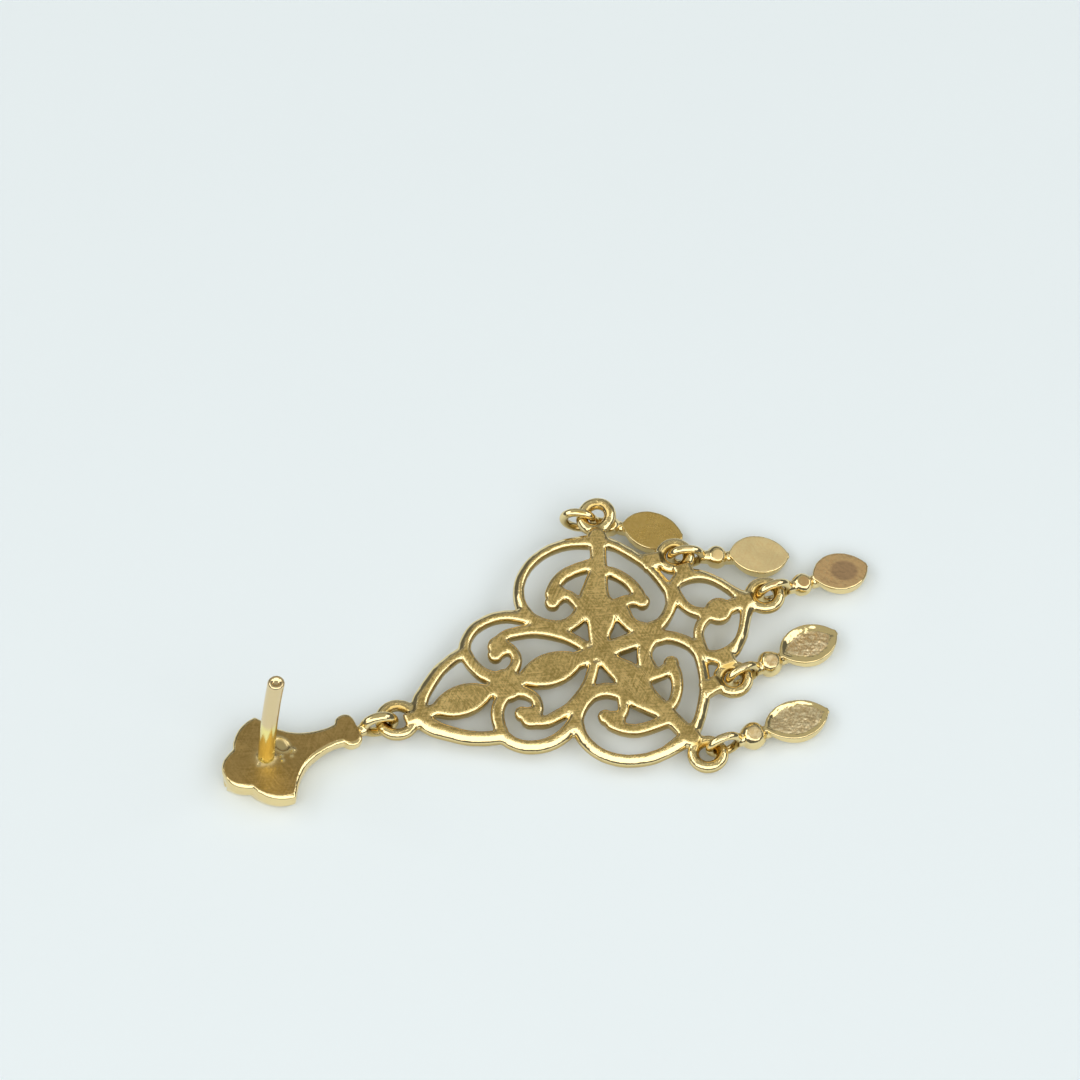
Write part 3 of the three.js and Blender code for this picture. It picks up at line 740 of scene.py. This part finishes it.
def makePlate(setup, post):
    bm = bmesh.new()
    thickness, end = setup["thickness"], plateSections[-1][-1][0]
    stations = []
    for section in plateSections:
        for x, width, _ in smoothRun([(x, width, 0) for x, width in section], setup["spacing"]):
            share = 1 + (setup["crossbar"] / thickness - 1) * max(x / end, 0)
            stations.append((x, 0, width, share))
    addBar(bm, stations, setup["levels"])
    centre = (Vector(setup["ringAt"]) - Vector(setup["at"])).to_3d()
    centre.rotate(Euler((0, 0, -math.radians(setup["turn"]))))
    centre.z = ringRest - thickness
    radius, link = setup["ringRadius"], setup["linkRadius"]
    turn = Matrix.Rotation(math.radians(setup["ringTurn"] - setup["turn"]), 4, "Z")
    addHoop(bm, radius, setup["ringWire"], Matrix.Translation(centre) @ turn @ uprightRing)
    addRod(bm, end - link, centre.x - radius - setup["ringWire"] / 2 + link, link,
           Matrix.Translation((0, centre.y, centre.z)))
    mesh = castTogether(bm, setup["voxel"], setup["rounds"], setup["swell"])
    satin, solder, paintedShadeAndReflection = [], [], []
    foot = Vector((*post["foot"], 0))
    for vert, normal, point in surface(mesh):
        onBack = point.z > -setup["flatDepth"] and point.x < end
        flat = level = ease(normal.z, *setup["flatFrom"]) if onBack else 0.0
        lift = dull = 0.0
        if onBack:
            lift, dull, shine = solderMarks(point, (point - foot).to_2d(), post["radius"])
            flat *= 1 - shine
        satin.append(flat * (1 - solderTint["satinLoss"] * dull))
        solder.append(solderTint["colour"] * dull)
        # painted shade inside the ring
        onRing = point.x > end + setup["paintedShadePast"]
        paintedShadeAndReflection.append(insideRing(point, normal, centre, turn.col[1].to_3d(), radius) if onRing else 0.0)
        push = waver(point, setup["wobble"]) + waver(point, setup["grain"])
        vert.co = point + normal * push * (1 - setup["flatCalm"] * flat) + Vector((0, 0, lift * level))
    finishPiece("studPlate", mesh, inPlace(placePlate(setup)), studGold, "stud_plate",
                {"satin": satin, "solder": solder, "paintedShadeAndReflection": paintedShadeAndReflection})


def makePost(setup, plate):
    # turned with a cupped tip, then bent towards the drops
    bm = bmesh.new()
    radius, length, margin, rows = setup["radius"], setup["length"], setup["margin"], setup["rows"]
    profile = [(0, setup["flare"][0][1])]
    profile += [(radius + past, height) for past, height in setup["flare"]]
    profile += [(radius, margin + (length - 2 * margin) * i / rows) for i in range(rows + 1)]
    profile += [(radius - inset, length - below) for inset, below in setup["tip"]]
    addTurned(bm, profile, Matrix(), setup["sides"])
    bmesh.ops.recalc_face_normals(bm, faces=bm.faces[:])
    curve = setup["bendCurve"]
    for vert in bm.verts:
        rise = max(vert.co.z, 0) / length
        vert.co.x += setup["bend"] * ((1 - curve) * rise + curve * rise ** 2)
        side = Vector((vert.co.x, vert.co.y, 0)).normalized()
        vert.co += side * waver(vert.co, setup["wobble"])
    mesh = bpy.data.meshes.new("earPost")
    bm.to_mesh(mesh)
    bm.free()
    # painted reflection: the lower part of the post is mixed towards a warmer yellow
    yellow = []
    for vert in mesh.vertices:
        below = setup["yellowTo"] + waver(vert.co, setup["yellowWaver"]) - vert.co.z
        yellow.append(ease(below, *setup["yellowFade"]))
    foot = Matrix.Translation((*setup["foot"], 0))
    finishPiece("earPost", mesh, inPlace(placePlate(plate) @ foot), postGold,
                "stud_plate", {"paintedShadeAndReflection": yellow})


makePlate(studPlate, earPost)
makePost(earPost, studPlate)

# ---- table and light
tableTop = {"side": 6.0, "rough": 0.7, "colour": (0.86, 0.93, 0.965, 1),
            "darker": 0.985, "cloud": (0.05, 2.0)}     # how dark its faint clouds are, their noise
studioLights = {
    # soft windows behind the camera and at both sides, a low one at the far side, and a dim ceiling
    "window": {"azimuth": -25, "elevation": 47, "distance": 1.0, "size": (2.4, 0.75),
               "brightness": 1.92, "colour": (1.0, 1.0, 1.0)},
    "leftWindow": {"azimuth": -120, "elevation": 40, "distance": 1.2, "size": (0.9, 0.5),
                   "brightness": 1.85, "colour": (1.0, 1.0, 1.0)},
    "rightWindow": {"azimuth": 72, "elevation": 40, "distance": 1.2, "size": (0.9, 0.5),
                    "brightness": 1.85, "colour": (1.0, 1.0, 1.0)},
    "backWindow": {"azimuth": 158, "elevation": 24, "distance": 1.3, "size": (1.2, 0.25),
                   "brightness": 0.45, "colour": (1.0, 1.0, 0.95)},
    "ceiling": {"azimuth": 158, "elevation": 78, "distance": 1.3, "size": (2.6, 2.1),
                "brightness": 0.34, "colour": (1.0, 0.97, 0.78)},
}
roomGlow = {"colour": (0.9, 0.95, 1.0, 1), "strength": 0.15}


def makeTable(setup):
    bm = bmesh.new()
    bmesh.ops.create_grid(bm, x_segments=1, y_segments=1, size=setup["side"] / 2)
    mesh = bpy.data.meshes.new("tableTop")
    bm.to_mesh(mesh)
    bm.free()
    table = addObject("tableTop", mesh)
    paint = Recipe("tablePaint")
    cloud = paint.noise(paint.place(), *setup["cloud"])
    darker = (*(setup["darker"] * part for part in setup["colour"][:3]), 1)
    paint.feed(paint.shader, {"Base Color": paint.tint(cloud, darker, setup["colour"]),
                              "Roughness": setup["rough"]})
    mesh.materials.append(paint.material)


def makeLights(setups, glow):
    for name, setup in setups.items():
        back = towards(setup)
        data = bpy.data.lights.new(name, "AREA")
        data.shape = "RECTANGLE"
        data.size, data.size_y = setup["size"]
        data.energy = setup["brightness"] * math.pi * data.size * data.size_y
        data.color = setup["colour"]
        lamp = addObject(name, data)
        lamp.location = back * setup["distance"]
        lamp.rotation_euler = back.to_track_quat("Z", "Y").to_euler()
        lamp.visible_camera = False
    world = bpy.data.worlds.new("room")
    bpy.context.scene.world = world
    world.use_nodes = True
    background = world.node_tree.nodes["Background"].inputs
    background["Color"].default_value = glow["colour"]
    background["Strength"].default_value = glow["strength"]


makeTable(tableTop)
makeLights(studioLights, roomGlow)
bpy.context.scene.view_settings.view_transform = "Standard"
print("table and light set")
